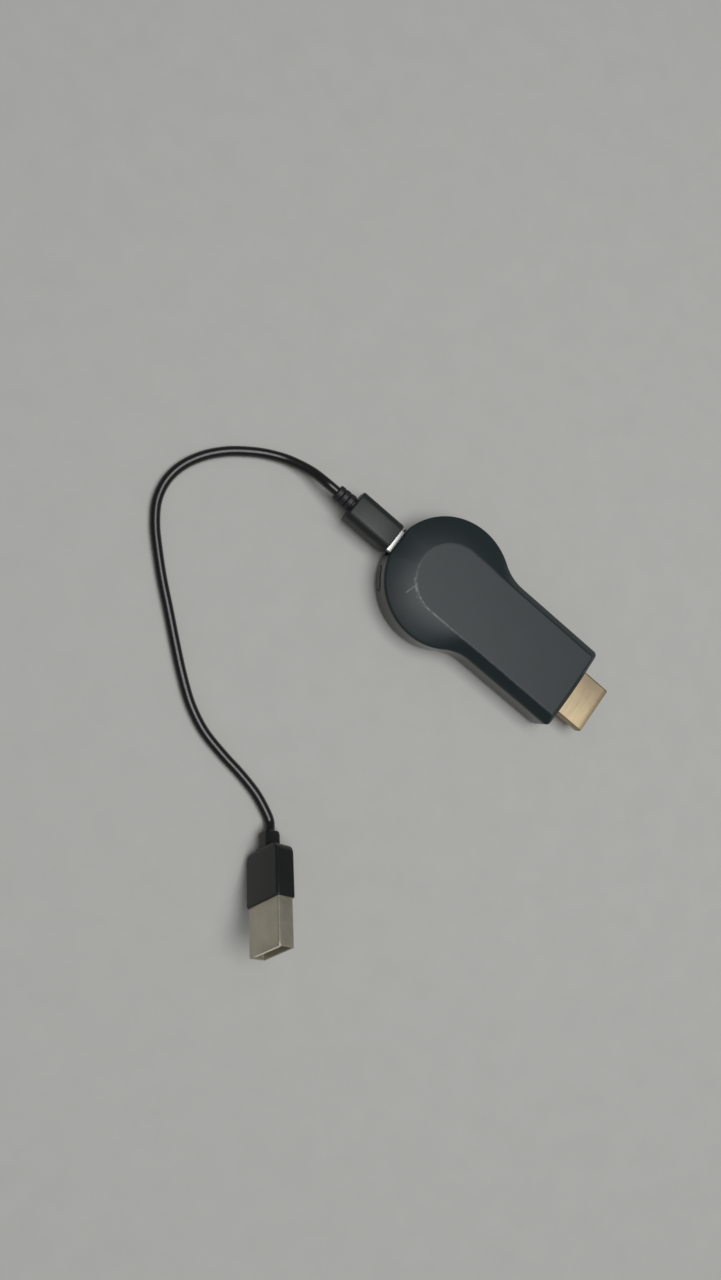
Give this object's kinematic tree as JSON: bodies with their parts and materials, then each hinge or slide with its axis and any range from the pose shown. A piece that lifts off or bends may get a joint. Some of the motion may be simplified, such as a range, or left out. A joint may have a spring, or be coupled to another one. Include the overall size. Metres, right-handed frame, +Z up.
{
  "type": "streaming media stick",
  "caption": "Round-headed streaming media stick with a video plug at one end, a small reset button, a status light and a short detachable power cable with its two plugs.",
  "frame": {"origin": "on the flat base, in the middle between the head's round rim, taken without its 0.5 mm flat, and the tip of the video plug; the cable isn't counted", "axes": "+X from the round head to the video plug, +Z up out of the raised flat top, +Y towards the side with the status light"},
  "size_m": [0.1273, 0.1216, 0.0233],
  "materials": {
    "upper_cover_plastic": "matt, very fine moulded grain",
    "lower_cover_plastic": "polished, glossy",
    "board": "green solder mask",
    "can": "tinned sheet",
    "chip": "moulded epoxy",
    "thermal_pad": "soft, matt",
    "spreader": "plain rolled sheet",
    "module_can": "drawn sheet",
    "antenna": "bright",
    "crystal_can": "nickelled",
    "coil": "moulded ferrite",
    "capacitor": "fired, satin",
    "video_metal": "thin pale gold plating, satin",
    "black_insulator": "moulded, matt",
    "gold_contacts": "gold plated",
    "socket_metal": "tinned",
    "switch_plastic": "matt",
    "plunger_plastic": "matt",
    "button_plastic": "satin gloss",
    "led": "cast resin",
    "clear_plastic": "clear moulded",
    "plug_metal": "bright nickel plating",
    "plug_grip_plastic": "fine matt grain",
    "sleeve_rubber": "satin",
    "cord_jacket": "smooth and glossy",
    "host_grip_plastic": "fine matt grain",
    "host_metal": "nickelled sheet, fine lines",
    "white_insulator": "moulded, matt"
  },
  "bodies": {
    "stick": {"upper_cover": "upper_cover_plastic", "lower_cover": "lower_cover_plastic", "main_board": "board", "shield_can": "can", "processor": "chip", "memory_chip": "chip", "chip_pads": "thermal_pad", "can_pad": "thermal_pad", "heat_spreader": "spreader", "flash_chip": "chip", "radio_module": "module_can", "radio_antenna": "antenna", "crystal": "crystal_can", "power_coils": "coil", "capacitors": "capacitor", "video_shell": "video_metal", "video_insulator": "black_insulator", "video_contacts": "gold_contacts", "socket_shell": "socket_metal", "socket_insulator": "black_insulator", "socket_contacts": "gold_contacts", "switch_body": "switch_plastic", "status_led": "led", "light_pipe": "clear_plastic"},
    "button": {"reset_button": "button_plastic", "switch_plunger": "plunger_plastic"},
    "cable": {"plug_shell": "plug_metal", "plug_insulator": "black_insulator", "plug_contacts": "gold_contacts", "plug_grip": "plug_grip_plastic", "plug_sleeve": "sleeve_rubber", "power_cord": "cord_jacket", "host_collar": "host_grip_plastic", "host_grip": "host_grip_plastic", "host_shell": "host_metal", "host_insulator": "white_insulator", "host_contacts": "gold_contacts"}
  },
  "joints": [
    {"name": "reset_press", "type": "slide", "parent": "stick", "child": "button", "axis": [0.829, 0.5592, 0], "range_m": [0, 0.0004], "stiffness_N_per_m": 3000},
    {"name": "cable_pull", "type": "slide", "parent": "stick", "child": "cable", "axis": [-1, 0, 0], "range_m": [0, 0.008]}
  ]
}
